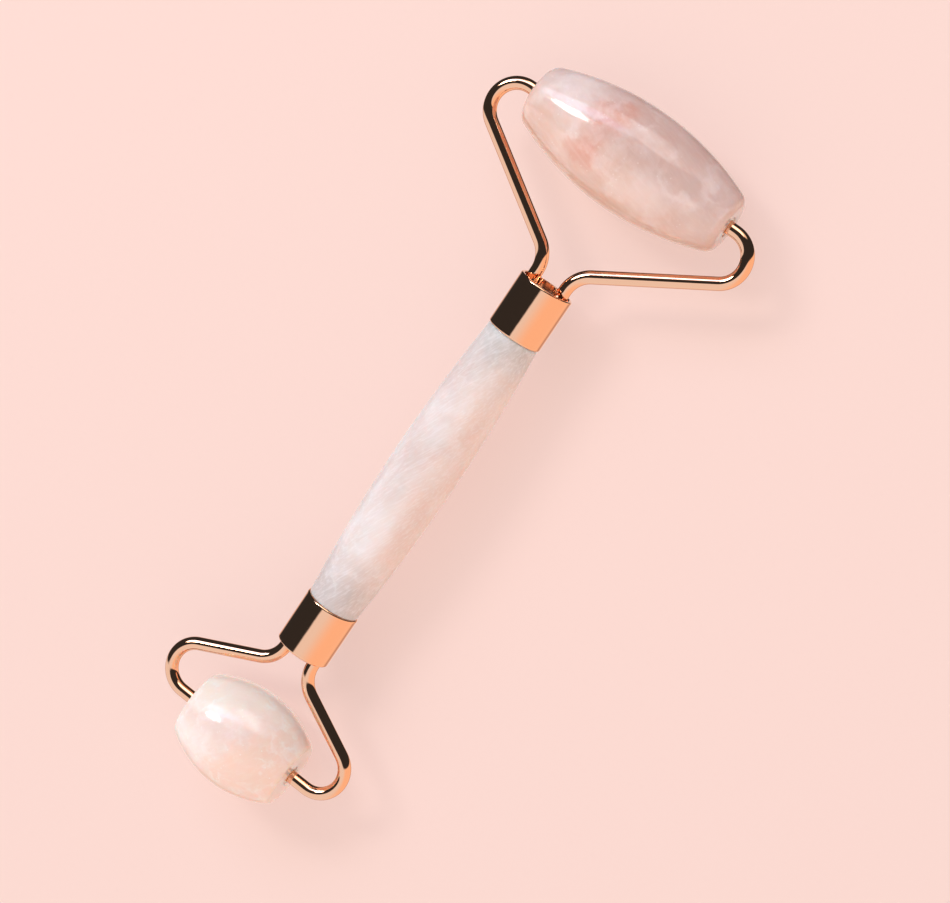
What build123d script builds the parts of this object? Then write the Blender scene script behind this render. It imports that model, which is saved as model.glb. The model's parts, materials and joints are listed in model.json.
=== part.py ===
from build123d import *
import os

# Face roller: a stone handle with a wire fork at each end, each fork carrying a free-turning stone.
# Frame, in millimetres: the handle axis runs along X at the height of the small roller's radius,
# the rollers turn about axes parallel to Y, and Z is up. X = 0 is the middle of the whole length.
# "Large end" is +X and "small end" is -X. Left is +Y and right is -Y.

# Handle
STONE_HALF_LENGTH = 29.6        # visible stone, from its middle to a ferrule's edge
STONE_MIDDLE_RADIUS = 6.35
STONE_END_RADIUS = 4.95
TENON_RADIUS = 4.6              # turned-down ends, glued inside the ferrules
TENON_LENGTH = 6.0
STUD_RADIUS = 1.4
STUD_DEPTH = 13.5               # how far a stud reaches into the stone
STUD_BORE_SPARE = 0.5           # room for glue at the bottom of the bore

# Ferrules and the plugs inside them
FERRULE_RADIUS = 5.25
FERRULE_LENGTH = 10.5
FERRULE_EDGE_ROUNDING = 0.35
FERRULE_INNER_ROUNDING = 0.15
RECESS_DEPTH = 1.2              # how far a plug's face lies inside its ferrule
STUD_COVER = 0.5                # plug metal left over the end of the stud

# Wire arms
WIRE_RADIUS = 1.25
ARM_SPACING = 3.1               # from the handle axis to an arm where it leaves the plug
ARM_ROOT_GAP = 0.3              # between an arm's root and the stone
INNER_BEND_RADIUS = 5.5
OUTER_BEND_RADIUS = 4.8
AXLE_TIP_CHAMFER = 0.2

# Bushes
BUSH_RADIUS = 1.9
RUNNING_CLEARANCE = 0.06        # radial, between an arm's end and its bush
BUSH_SET_BACK = 0.2             # bush's outer face behind the stone's end face
BORE_MOUTH_CHAMFER = 0.15
BORE_SPARE = 0.6                # stone bore past the bush's inner end

# Each end of the tool: direction along X, roller axis and bend corner distances from the handle's
# middle, and the roller's own sizes.
ENDS = {
    "large": dict(
        side=1, roller_x=66.65, corner_x=44.3, corner_y=38.8,
        half_length=20.6, middle_radius=9.65, crown_radius=51.6, corner_rounding=2.2,
        bush_length=6.0, axle_depth=5.6,
    ),
    "small": dict(
        side=-1, roller_x=60.5, corner_x=44.5, corner_y=35.0,
        half_length=11.2, middle_radius=9.8, crown_radius=20.0, corner_rounding=1.4,
        bush_length=4.5, axle_depth=4.1,
    ),
}

LOW_X = -ENDS["small"]["roller_x"] - ENDS["small"]["middle_radius"]
HIGH_X = ENDS["large"]["roller_x"] + ENDS["large"]["middle_radius"]
HANDLE_X = -(LOW_X + HIGH_X) / 2            # the handle's middle, measured from the frame's origin
AXIS_HEIGHT = ENDS["small"]["middle_radius"]
PLUG_INNER_X = STONE_HALF_LENGTH + TENON_LENGTH
FERRULE_END_X = STONE_HALF_LENGTH + FERRULE_LENGTH
PLUG_OUTER_X = FERRULE_END_X - RECESS_DEPTH
SIDES = {"left": 1, "right": -1}


def place(shape, side=1):
    """Turn a piece made for the large end to its own end, then move it to the handle's place."""
    turned = shape if side > 0 else shape.rotate(Axis.Z, 180)
    return turned.translate((HANDLE_X, 0, AXIS_HEIGHT))


def rod(radius, start_x, end_x, y=0.0):
    """A round bar along X."""
    bar = Cylinder(radius, end_x - start_x, rotation=(0, 90, 0))
    return Pos((start_x + end_x) / 2, y, 0) * bar


def cross_rod(radius, start_y, end_y):
    """A round bar along Y."""
    bar = Cylinder(radius, end_y - start_y, rotation=(90, 0, 0))
    return Pos(0, (start_y + end_y) / 2, 0) * bar


def handle_stone():
    """Barrel-shaped stone: its outline is one long arc between two turned-down tenons."""
    end = STONE_HALF_LENGTH
    tip = PLUG_INNER_X
    with BuildPart() as part:
        with BuildSketch(Plane.XY):
            with BuildLine():
                Polyline((-end, STONE_END_RADIUS), (-end, TENON_RADIUS), (-tip, TENON_RADIUS), (-tip, 0),
                         (tip, 0), (tip, TENON_RADIUS), (end, TENON_RADIUS), (end, STONE_END_RADIUS))
                ThreePointArc((end, STONE_END_RADIUS), (0, STONE_MIDDLE_RADIUS), (-end, STONE_END_RADIUS))
            make_face()
        revolve(axis=Axis.X)
    depth = STUD_DEPTH + STUD_BORE_SPARE
    return part.part - rod(STUD_RADIUS, tip - depth, tip) - rod(STUD_RADIUS, -tip, depth - tip)


def ferrule():
    """Thin metal sleeve with rolled edges, open at both ends."""
    sleeve = rod(FERRULE_RADIUS, STONE_HALF_LENGTH, FERRULE_END_X)
    sleeve -= rod(TENON_RADIUS, STONE_HALF_LENGTH, FERRULE_END_X)
    rims = sleeve.edges().filter_by(GeomType.CIRCLE)
    outer = rims.filter_by(lambda edge: edge.radius > FERRULE_RADIUS - 0.01)
    sleeve = fillet(outer, FERRULE_EDGE_ROUNDING)
    inner = sleeve.edges().filter_by(GeomType.CIRCLE).filter_by(lambda edge: edge.radius < TENON_RADIUS + 0.01)
    return fillet(inner.sort_by(Axis.X)[-1], FERRULE_INNER_ROUNDING)


def plug():
    """Disc that closes a ferrule: two through holes for the arms and a blind one for the stud."""
    disc = rod(TENON_RADIUS, PLUG_INNER_X, PLUG_OUTER_X)
    for direction in SIDES.values():
        disc -= rod(WIRE_RADIUS, PLUG_INNER_X, PLUG_OUTER_X, direction * ARM_SPACING)
    return disc - rod(STUD_RADIUS, PLUG_INNER_X, PLUG_OUTER_X - STUD_COVER)


def stud():
    """Anchor pin glued into the stone and the plug, with grooves that key the glue."""
    inner_x = PLUG_INNER_X - STUD_DEPTH
    pin = rod(STUD_RADIUS, inner_x, PLUG_OUTER_X - STUD_COVER)
    groove_depth = 0.25
    groove_width = 0.9
    groove_pitch = 3.0
    for index in range(4):
        start = inner_x + 1.5 + index * groove_pitch
        ring = rod(STUD_RADIUS, start, start + groove_width)
        ring -= rod(STUD_RADIUS - groove_depth, start, start + groove_width)
        pin -= ring
    return pin


def arm(end, direction):
    """Bent wire: out of the plug along X, out and along the leg, then back round as a stub axle."""
    tip_y = end["half_length"] - end["axle_depth"]
    points = [
        (PLUG_INNER_X + ARM_ROOT_GAP, direction * ARM_SPACING),
        (end["corner_x"], direction * ARM_SPACING),
        (end["roller_x"], direction * end["corner_y"]),
        (end["roller_x"], direction * tip_y),
    ]
    with BuildPart() as part:
        with BuildLine():
            path = FilletPolyline(*points, radius=(INNER_BEND_RADIUS, OUTER_BEND_RADIUS))
        with BuildSketch(Plane(origin=path @ 0, z_dir=path % 0)):
            Circle(WIRE_RADIUS)
        sweep()
    circles = part.part.edges().filter_by(GeomType.CIRCLE)
    tip = circles.sort_by(lambda edge: abs(edge.center().Y - direction * tip_y))[0]
    return chamfer(tip, AXLE_TIP_CHAMFER)


def roller_stone(end):
    """Barrel-shaped roller on the Y axis: one crown arc, rounded corners, flat ends with blind bores."""
    half = end["half_length"]
    middle = end["middle_radius"]
    crown = end["crown_radius"]
    end_radius = middle - crown + (crown ** 2 - half ** 2) ** 0.5
    with BuildPart() as part:
        with BuildSketch(Plane.XY):
            with BuildLine():
                ThreePointArc((end_radius, half), (middle, 0), (end_radius, -half))
                Polyline((end_radius, -half), (0, -half), (0, half), (end_radius, half))
            make_face()
        revolve(axis=Axis.Y)
    rims = part.part.edges().filter_by(GeomType.CIRCLE).filter_by(lambda edge: edge.radius > end_radius - 0.1)
    stone = fillet(rims.sort_by(Axis.Y)[0::len(rims) - 1], end["corner_rounding"])
    depth = BUSH_SET_BACK + end["bush_length"] + BORE_SPARE
    for direction in SIDES.values():
        start, stop = sorted((direction * (half - depth), direction * half))
        stone -= cross_rod(BUSH_RADIUS, start, stop)
    circles = stone.edges().filter_by(GeomType.CIRCLE)
    mouths = circles.filter_by(lambda edge: abs(edge.radius - BUSH_RADIUS) < 0.01).sort_by(Axis.Y)
    return chamfer([mouths[0], mouths[-1]], BORE_MOUTH_CHAMFER)


def bush(end, direction):
    """Plain nylon sleeve pressed into one end of a roller; an arm's end turns in it."""
    outer_y = direction * (end["half_length"] - BUSH_SET_BACK)
    inner_y = outer_y - direction * end["bush_length"]
    start, stop = sorted((outer_y, inner_y))
    return cross_rod(BUSH_RADIUS, start, stop) - cross_rod(WIRE_RADIUS + RUNNING_CLEARANCE, start, stop)


def nodes():
    """Every sub-part of the tool, by node name, in its place."""
    made = {"handle_stone": place(handle_stone())}
    for name, end in ENDS.items():
        side = end["side"]
        made[f"{name}_end_ferrule"] = place(ferrule(), side)
        made[f"{name}_end_plug"] = place(plug(), side)
        made[f"{name}_end_stud"] = place(stud(), side)
        axis = Pos(end["roller_x"], 0, 0)
        made[f"{name}_roller_stone"] = place(axis * roller_stone(end), side)
        for hand, left in SIDES.items():
            direction = left * side         # the turn to the small end swaps left and right
            made[f"{name}_arm_{hand}"] = place(arm(end, direction), side)
            made[f"{name}_bush_{hand}"] = place(axis * bush(end, direction), side)
    return made


os.makedirs("parts", exist_ok=True)
for node_name, shape in nodes().items():
    export_step(shape, f"parts/{node_name}.step")
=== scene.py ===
import json
import logging
import math
from abc import ABC, abstractmethod
from dataclasses import dataclass
from enum import Enum
from typing import Any, ClassVar, Optional, Sequence

import bpy
import numpy as np
from mathutils import Matrix, Vector


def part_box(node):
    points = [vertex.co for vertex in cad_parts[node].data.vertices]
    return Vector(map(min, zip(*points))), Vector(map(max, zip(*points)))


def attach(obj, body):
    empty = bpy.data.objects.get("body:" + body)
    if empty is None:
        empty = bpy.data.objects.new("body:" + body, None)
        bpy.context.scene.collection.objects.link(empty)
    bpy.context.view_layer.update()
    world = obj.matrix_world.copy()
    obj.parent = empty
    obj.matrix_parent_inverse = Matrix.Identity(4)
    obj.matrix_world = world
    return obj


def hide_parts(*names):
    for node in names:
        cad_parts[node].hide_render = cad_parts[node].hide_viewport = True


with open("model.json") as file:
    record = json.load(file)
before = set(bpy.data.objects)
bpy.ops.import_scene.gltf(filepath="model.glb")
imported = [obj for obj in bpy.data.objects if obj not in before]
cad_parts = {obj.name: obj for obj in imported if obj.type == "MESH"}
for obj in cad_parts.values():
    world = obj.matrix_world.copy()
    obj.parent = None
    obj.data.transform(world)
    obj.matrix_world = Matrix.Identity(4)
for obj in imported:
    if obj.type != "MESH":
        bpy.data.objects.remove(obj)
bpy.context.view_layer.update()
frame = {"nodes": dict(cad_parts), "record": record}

LOG = logging.getLogger("face_roller")
MM = 0.001                      # the frame is in metres; the sizes below are in millimetres
POLE_RADIUS = 0.05              # of the smallest ring at the bottom of a bore, which a pole closes
BORE_CORNER = 0.1               # rounding at the bottom of a bore
HANDLE_BODY = "handle"
JOINTS = {joint["name"]: joint for joint in frame["record"]["behaviour"]["joints"]}

Colour = tuple[float, float, float, float]


# ---------------------------------------------------------------- choices


class End(Enum):
    """The two ends of the tool; the value is the direction along the frame's X axis."""

    LARGE = 1
    SMALL = -1

    @property
    def word(self) -> str:
        """The word that this end's nodes, bodies and joints start with."""
        return self.name.lower()


class Hand(Enum):
    """The two sides of the tool; the value is the direction along the frame's Y axis."""

    LEFT = 1
    RIGHT = -1

    @property
    def word(self) -> str:
        """The word that this side's nodes end with."""
        return self.name.lower()


# ---------------------------------------------------------------- colour and nodes


def linear(hex_code: str) -> Colour:
    """Turn an sRGB hex colour into the linear colour that a shader works with.

    Args:
        hex_code: six hex digits, with or without a leading #.

    Returns:
        Linear red, green and blue, and an alpha of 1.
    """
    digits = hex_code.lstrip("#")
    channels = [int(digits[at:at + 2], 16) / 255 for at in (0, 2, 4)]
    red, green, blue = [c / 12.92 if c <= 0.04045 else ((c + 0.055) / 1.055) ** 2.4 for c in channels]
    return red, green, blue, 1.0


def lit(hex_code: str, gain: float) -> Colour:
    """The linear colour of a hex code, made brighter or dimmer by a gain."""
    red, green, blue, alpha = linear(hex_code)
    return gain * red, gain * green, gain * blue, alpha


def set_inputs(node: bpy.types.Node, values: dict[Any, Any]) -> None:
    """Set numbers and colours on a node's own sockets."""
    for socket, value in values.items():
        node.inputs[socket].default_value = value


def add_node(tree: bpy.types.NodeTree, kind: str, links: Optional[dict[Any, Any]] = None,
             values: Optional[dict[Any, Any]] = None, **settings: Any) -> bpy.types.Node:
    """Add one shader node.

    Args:
        tree: the node tree that gets it.
        kind: the node's type name, such as ShaderNodeTexNoise.
        links: input socket to the output socket that feeds it.
        values: input socket to the number or colour set on it.
        settings: attributes of the node itself.

    Returns:
        The new node.
    """
    node = tree.nodes.new(kind)
    for name, value in settings.items():
        setattr(node, name, value)
    set_inputs(node, values or {})
    for socket, source in (links or {}).items():
        tree.links.new(source, node.inputs[socket])
    return node


def set_ramp(node: bpy.types.Node, stops: Sequence[tuple[float, str]]) -> None:
    """Give a colour ramp its stops.

    Args:
        node: the ramp node.
        stops: position and hex colour of each stop, in order.
    """
    elements = node.color_ramp.elements
    while len(elements) < len(stops):
        elements.new(0.5)
    for element, (position, hex_code) in zip(elements, stops):
        element.position = position
        element.color = linear(hex_code)


# ---------------------------------------------------------------- places


def middle_of(node: str) -> np.ndarray:
    """The middle of a CAD node's box, in millimetres."""
    low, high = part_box(node)
    return (np.array(low) + np.array(high)) / 2 / MM


def size_of(node: str) -> np.ndarray:
    """The three sides of a CAD node's box, in millimetres."""
    low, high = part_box(node)
    return (np.array(high) - np.array(low)) / MM


def roller_axis(end: End) -> np.ndarray:
    """A point on a roller's axis, midway between its flat ends, in millimetres."""
    return np.array(JOINTS[f"{end.word}_roller_spin"]["pos_m"], dtype=float) / MM


# ---------------------------------------------------------------- surfaces


def enclosed_volume(points: np.ndarray, triangles: np.ndarray) -> float:
    """Signed volume of a closed surface: a sixth of the sum of each triangle's a . (b x c)."""
    first, second, third = (points[triangles[:, corner]] for corner in range(3))
    return float(np.einsum("ij,ij->i", first, np.cross(second, third)).sum() / 6)


@dataclass
class Rings:
    """A surface made of rings of points, one after another.

    Attributes:
        points: an array of rings by points by three, in millimetres.
        looped: the last ring joins the first, as on a hollow ring; otherwise each end closes on a pole
            at the middle of its last ring.
    """

    points: np.ndarray
    looped: bool = False

    def faces(self) -> tuple[np.ndarray, np.ndarray, np.ndarray]:
        """Number the grid's corners.

        Returns:
            The points as one list, the four-cornered faces, and the triangles at the poles.
        """
        rings, around, _ = self.points.shape
        index = np.arange(rings * around).reshape(rings, around)
        below = index if self.looped else index[:-1]
        above = np.roll(index, -1, axis=0) if self.looped else index[1:]
        quads = np.stack([below, np.roll(below, -1, axis=1), np.roll(above, -1, axis=1), above], axis=-1)
        points = self.points.reshape(-1, 3)
        if self.looped:
            return points, quads.reshape(-1, 4), np.empty((0, 3), dtype=int)
        poles = np.stack([self.points[0].mean(axis=0), self.points[-1].mean(axis=0)])
        first = np.stack([np.roll(index[0], -1), index[0], np.full(around, len(points))], axis=-1)
        last = np.stack([index[-1], np.roll(index[-1], -1), np.full(around, len(points) + 1)], axis=-1)
        return np.vstack([points, poles]), quads.reshape(-1, 4), np.vstack([first, last])

    def build(self, name: str) -> bpy.types.Object:
        """Make the surface a smooth-shaded object at the frame's origin, with its faces outward.

        Args:
            name: the object's name.

        Returns:
            The new object.
        """
        points, quads, triangles = self.faces()
        halves = np.vstack([triangles, quads[:, [0, 1, 2]], quads[:, [0, 2, 3]]])
        if enclosed_volume(points, halves) < 0:
            quads, triangles = quads[:, ::-1], triangles[:, ::-1]
        mesh = bpy.data.meshes.new(name)
        mesh.from_pydata((points * MM).tolist(), [], quads.tolist() + triangles.tolist())
        mesh.polygons.foreach_set("use_smooth", np.ones(len(mesh.polygons), dtype=bool))
        mesh.validate()
        mesh.update()
        made = bpy.data.objects.new(name, mesh)
        bpy.context.scene.collection.objects.link(made)
        return made


def arc(centre: tuple[float, float], radius: float, start: float, end: float, steps: int) -> np.ndarray:
    """Points on a circle: the centre plus the radius times (sine, cosine) of each angle.

    Args:
        centre: the arc's centre, as (along, out).
        radius: the arc's radius.
        start: first angle in radians, measured from straight out towards along.
        end: last angle.
        steps: number of spans.

    Returns:
        An array of (along, out) points.
    """
    angles = np.linspace(start, end, steps + 1)
    return np.stack([centre[0] + radius * np.sin(angles), centre[1] + radius * np.cos(angles)], axis=-1)


def rounded(corners: Sequence[tuple[float, float, float]], steps: int = 8, hold: float = 0.03) -> np.ndarray:
    """An outline of straight runs with an arc at each corner.

    Each arc is tangent to both runs: it starts and ends a tangent length, radius over the tangent of half
    the inside angle, from its corner. A point just outside each arc keeps the flats shaded flat.

    Args:
        corners: (along, out, rounding) of each corner; a rounding of 0 keeps the corner sharp.
        steps: spans in each arc.
        hold: distance from an arc to the point that holds its flat.

    Returns:
        An array of (along, out) points.
    """
    places = np.array([corner[:2] for corner in corners], dtype=float)
    pieces = []
    for at, (_, _, radius) in enumerate(corners):
        corner = places[at]
        if radius <= 0 or at in (0, len(corners) - 1):
            pieces.append(corner[None])
            continue
        back = (places[at - 1] - corner) / np.linalg.norm(places[at - 1] - corner)
        ahead = (places[at + 1] - corner) / np.linalg.norm(places[at + 1] - corner)
        half_angle = math.acos(float(np.clip(back @ ahead, -1, 1))) / 2
        reach = radius / math.tan(half_angle)
        middle = (back + ahead) / np.linalg.norm(back + ahead)
        centre = corner + middle * radius / math.sin(half_angle)
        first = (corner + back * reach - centre) / radius
        last = (corner + ahead * reach - centre) / radius
        span = math.pi - 2 * half_angle
        turn = np.linspace(0, span, steps + 1)[:, None]
        curve = (np.sin(span - turn) * first + np.sin(turn) * last) / math.sin(span)
        pieces.append((corner + back * (reach + hold))[None])
        pieces.append(centre + radius * curve)
        pieces.append((corner + ahead * (reach + hold))[None])
    return np.vstack(pieces)


def turned(outline: np.ndarray, axis: str, centre: Sequence[float], around: int,
           looped: bool = False) -> Rings:
    """Turn an outline about an axis: each point (along, out) makes a circle of radius out.

    Args:
        outline: (along, out) points.
        axis: "X" or "Y", the frame axis that the circle's axis is parallel to.
        centre: the point that the axis passes through, where along is 0.
        around: points in each circle.
        looped: the outline closes on itself and leaves the axis free.

    Returns:
        The rings of the turned surface.
    """
    angle = np.linspace(0, 2 * math.pi, around, endpoint=False)
    along = np.repeat(outline[:, :1], around, axis=1)
    across = outline[:, 1:] * np.cos(angle)
    height = outline[:, 1:] * np.sin(angle)
    order = (along, across, height) if axis == "X" else (across, along, height)
    return Rings(np.stack(order, axis=-1) + np.asarray(centre), looped)


def tube(path: np.ndarray, radii: np.ndarray, around: int) -> Rings:
    """A round tube along a flat path: each ring is the path point plus radius times (cos side + sin up).

    Args:
        path: points on the tube's middle, all at one height.
        radii: the tube's radius at each point.
        around: points in each ring.

    Returns:
        The rings of the tube's surface.
    """
    steps = np.linalg.norm(np.diff(path, axis=0), axis=1)
    heading = np.gradient(path, np.concatenate([[0.0], np.cumsum(steps)]), axis=0)
    heading /= np.linalg.norm(heading, axis=1)[:, None]
    up = np.array([0.0, 0.0, 1.0])
    side = np.cross(up, heading)
    angle = np.linspace(0, 2 * math.pi, around, endpoint=False)[None, :, None]
    offset = np.cos(angle) * side[:, None] + np.sin(angle) * up
    return Rings(path[:, None] + radii[:, None, None] * offset)


def barrel(half_length: float, middle_radius: float, crown_radius: float, rounding: float,
           steps: int) -> np.ndarray:
    """The crown of a barrel and the rounding at its ends.

    The crown is one arc of crown_radius whose middle stands middle_radius from the axis. Each rounding is
    an arc tangent to the crown inside and to the flat end, so its centre lies crown_radius minus rounding
    from the crown's centre.

    Args:
        half_length: from the middle to a flat end.
        middle_radius: radius at the middle.
        crown_radius: radius of the long arc.
        rounding: radius of the corner arcs.
        steps: spans along the crown.

    Returns:
        (along, out) points from one flat end to the other.
    """
    drop = crown_radius - middle_radius
    along = half_length - rounding
    out = math.sqrt((crown_radius - rounding) ** 2 - along ** 2) - drop
    tangent = math.atan2(along, out + drop)
    crown = arc((0.0, -drop), crown_radius, -tangent, tangent, steps)
    corner = arc((along, out), rounding, tangent, math.pi / 2, 14)
    flat = np.array([[half_length, out - 0.03]])
    end = np.vstack([corner[1:], flat])
    return np.vstack([end[::-1] * (-1, 1), crown, end])


def sleeve(length: float, radii: tuple[float, float], roundings: tuple[float, float],
           steps: int) -> np.ndarray:
    """The wall of an open sleeve: a rectangle with rounded corners, which closes on itself.

    Args:
        length: length of the sleeve.
        radii: its outer and inner radius.
        roundings: radius of its outer and its inner edges.
        steps: spans in each rounding.

    Returns:
        (along, out) points round the wall.
    """
    half, wall = length / 2, sum(radii) / 2
    (outer, inner), (edge, mouth) = radii, roundings
    return rounded((
        (-half, wall, 0), (-half, outer, edge), (half, outer, edge), (half, inner, mouth),
        (-half, inner, mouth), (-half, wall, 0)), steps)[:-1]


# ---------------------------------------------------------------- finishes


def new_material(name: str) -> tuple[bpy.types.Material, bpy.types.NodeTree, bpy.types.Node]:
    """Start a material.

    Args:
        name: the material's name.

    Returns:
        The material, its node tree and its surface shader.
    """
    made = bpy.data.materials.new(name)
    made.use_nodes = True
    return made, made.node_tree, made.node_tree.nodes["Principled BSDF"]


class Inclusion(ABC):
    """Something laid over the stone's colour: an inclusion in the stone, such as a veil, a patch or flecks,
    and also each zone of painted light and shade.

    Attributes:
        wavers: its edges are moved by the stone's wavering, so they are never straight.
        strength: how strongly it colours the stone, from 0 to 1.
        colour: its hex colour.
    """

    wavers: ClassVar[bool] = True
    strength: float
    colour: str

    @abstractmethod
    def share(self, tree: bpy.types.NodeTree, place: bpy.types.NodeSocket) -> bpy.types.NodeSocket:
        """How much of its colour each place has.

        Args:
            tree: the material's node tree.
            place: the place in the stone.

        Returns:
            The share, from 0 to the strength.
        """


@dataclass(frozen=True)
class Zone(Inclusion):
    """A zone of painted light and shade: past a plane through the stone, the colour turns to that of a lit
    side, a shaded side or a side warmed by the table's glow.

    Attributes:
        towards: direction of the zone from the plane.
        start: distance of the plane from the middle of the piece, in millimetres.
        blend: width of the change, in millimetres.
    """

    towards: tuple[float, float, float]
    start: float
    blend: float
    strength: float
    colour: str

    def share(self, tree: bpy.types.NodeTree, place: bpy.types.NodeSocket) -> bpy.types.NodeSocket:
        """The part of a place along the zone's direction, which grows smoothly across the plane.

        Args:
            tree: the material's node tree.
            place: the place in the stone.

        Returns:
            The share, from 0 to the strength.
        """
        reach = add_node(
            tree, "ShaderNodeVectorMath", {0: place}, {1: Vector(self.towards).normalized()},
            operation="DOT_PRODUCT")
        inside = add_node(
            tree, "ShaderNodeMapRange", {"Value": reach.outputs["Value"]},
            {"From Min": (self.start - self.blend / 2) * MM, "From Max": (self.start + self.blend / 2) * MM,
             "To Max": self.strength}, interpolation_type="SMOOTHSTEP")
        return inside.outputs[0]


@dataclass(frozen=True)
class Patch(Inclusion):
    """A patch of another colour with a soft edge.

    Attributes:
        centre: its middle, measured from the middle of the piece, in millimetres.
        radius: where it has faded out, in millimetres.
        core: share of its radius that has its full colour.
    """

    centre: tuple[float, float, float]
    radius: float
    strength: float
    colour: str
    core: float = 0.25

    def share(self, tree: bpy.types.NodeTree, place: bpy.types.NodeSocket) -> bpy.types.NodeSocket:
        """The distance from the patch's middle, which fades the patch out between its core and its radius.

        Args:
            tree: the material's node tree.
            place: the place in the stone.

        Returns:
            The share, from 0 to the strength.
        """
        away = add_node(
            tree, "ShaderNodeVectorMath", {0: place}, {1: Vector(self.centre) * MM}, operation="DISTANCE")
        inside = add_node(
            tree, "ShaderNodeMapRange", {"Value": away.outputs["Value"]},
            {"From Min": self.radius * MM, "From Max": self.radius * self.core * MM, "To Max": self.strength},
            interpolation_type="SMOOTHSTEP")
        return inside.outputs[0]


@dataclass(frozen=True)
class Veils(Inclusion):
    """Healed cracks, which look like thin whiter sheets and fade in and out.

    Attributes:
        size: distance between veils, in millimetres.
        width: how wide a veil is, as a share of the noise's range.
        gate: values of a second noise between which the veils fade in.
    """

    size: float
    width: float
    strength: float
    colour: str
    gate: tuple[float, float] = (0.40, 0.66)

    def share(self, tree: bpy.types.NodeTree, place: bpy.types.NodeSocket) -> bpy.types.NodeSocket:
        """A veil lies where one noise crosses its middle value, and a second noise says how much shows.

        Args:
            tree: the material's node tree.
            place: the place in the stone.

        Returns:
            The share, from 0 to the strength.
        """
        sheet = add_node(
            tree, "ShaderNodeTexNoise", {"Vector": place},
            {"Scale": 1 / (self.size * MM), "Detail": 2.0, "Roughness": 0.45})
        middle = add_node(tree, "ShaderNodeMath", {0: sheet.outputs["Fac"]}, {1: 0.5}, operation="SUBTRACT")
        distance = add_node(tree, "ShaderNodeMath", {0: middle.outputs[0]}, operation="ABSOLUTE")
        crack = add_node(
            tree, "ShaderNodeMapRange", {"Value": distance.outputs[0]},
            {"From Min": self.width, "From Max": 0.0}, interpolation_type="SMOOTHSTEP")
        fade = add_node(
            tree, "ShaderNodeTexNoise", {"Vector": place},
            {"Scale": 0.8 / (self.size * MM), "Detail": 4.0, "Roughness": 0.65})
        shown = add_node(
            tree, "ShaderNodeMapRange", {"Value": fade.outputs["Fac"]},
            {"From Min": self.gate[0], "From Max": self.gate[1], "To Max": self.strength},
            interpolation_type="SMOOTHSTEP")
        return add_node(
            tree, "ShaderNodeMath", {0: crack.outputs[0], 1: shown.outputs[0]},
            operation="MULTIPLY").outputs[0]


@dataclass(frozen=True)
class Fibres(Inclusion):
    """Fine fibres of milky quartz, which catch the light as faint silky streaks.

    Attributes:
        width: width of the fibres, in millimetres.
        length: how much longer than wide they are.
        angle: their turn about Z, from the X axis, in degrees.
        gate: values of the noise between which a fibre fades in.
    """

    wavers: ClassVar[bool] = False
    width: float
    length: float
    angle: float
    strength: float
    colour: str
    gate: tuple[float, float] = (0.42, 0.72)

    def share(self, tree: bpy.types.NodeTree, place: bpy.types.NodeSocket) -> bpy.types.NodeSocket:
        """A noise drawn out along the fibres, with its higher values showing.

        Args:
            tree: the material's node tree.
            place: the place in the stone.

        Returns:
            The share, from 0 to the strength.
        """
        along = add_node(
            tree, "ShaderNodeMapping", {"Vector": place},
            {"Rotation": (0.0, 0.0, math.radians(self.angle)), "Scale": (self.length, 1.0, 1.0)},
            vector_type="TEXTURE")
        streaks = add_node(
            tree, "ShaderNodeTexNoise", {"Vector": along.outputs[0]},
            {"Scale": 1 / (self.width * MM), "Detail": 3.0, "Roughness": 0.6, "Distortion": 0.3})
        shown = add_node(
            tree, "ShaderNodeMapRange", {"Value": streaks.outputs["Fac"]},
            {"From Min": self.gate[0], "From Max": self.gate[1], "To Max": self.strength},
            interpolation_type="SMOOTHSTEP")
        return shown.outputs[0]


@dataclass(frozen=True)
class Flecks(Inclusion):
    """Tiny white flecks, where small bubbles and crystal faces catch the light in groups.

    Attributes:
        spacing: distance between flecks, in millimetres.
        edge: distances from a fleck's middle, in spacings, between which it fades in.
        group: size of the groups, in millimetres.
        gate: values of the noise between which a group fades in.
    """

    wavers: ClassVar[bool] = False
    strength: float
    colour: str
    spacing: float = 0.9
    edge: tuple[float, float] = (0.24, 0.08)
    group: float = 3.0
    gate: tuple[float, float] = (0.48, 0.66)

    def share(self, tree: bpy.types.NodeTree, place: bpy.types.NodeSocket) -> bpy.types.NodeSocket:
        """A dot in the middle of each cell of the stone, where a noise says that a group is.

        Args:
            tree: the material's node tree.
            place: the place in the stone.

        Returns:
            The share, from 0 to the strength.
        """
        cells = add_node(
            tree, "ShaderNodeTexVoronoi", {"Vector": place},
            {"Scale": 1 / (self.spacing * MM), "Randomness": 1.0})
        dot = add_node(
            tree, "ShaderNodeMapRange", {"Value": cells.outputs["Distance"]},
            {"From Min": self.edge[0], "From Max": self.edge[1]}, interpolation_type="SMOOTHSTEP")
        groups = add_node(
            tree, "ShaderNodeTexNoise", {"Vector": place}, {"Scale": 1 / (self.group * MM), "Detail": 3.0})
        shown = add_node(
            tree, "ShaderNodeMapRange", {"Value": groups.outputs["Fac"]},
            {"From Min": self.gate[0], "From Max": self.gate[1], "To Max": self.strength},
            interpolation_type="SMOOTHSTEP")
        return add_node(
            tree, "ShaderNodeMath", {0: dot.outputs[0], 1: shown.outputs[0]}, operation="MULTIPLY").outputs[0]


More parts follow.
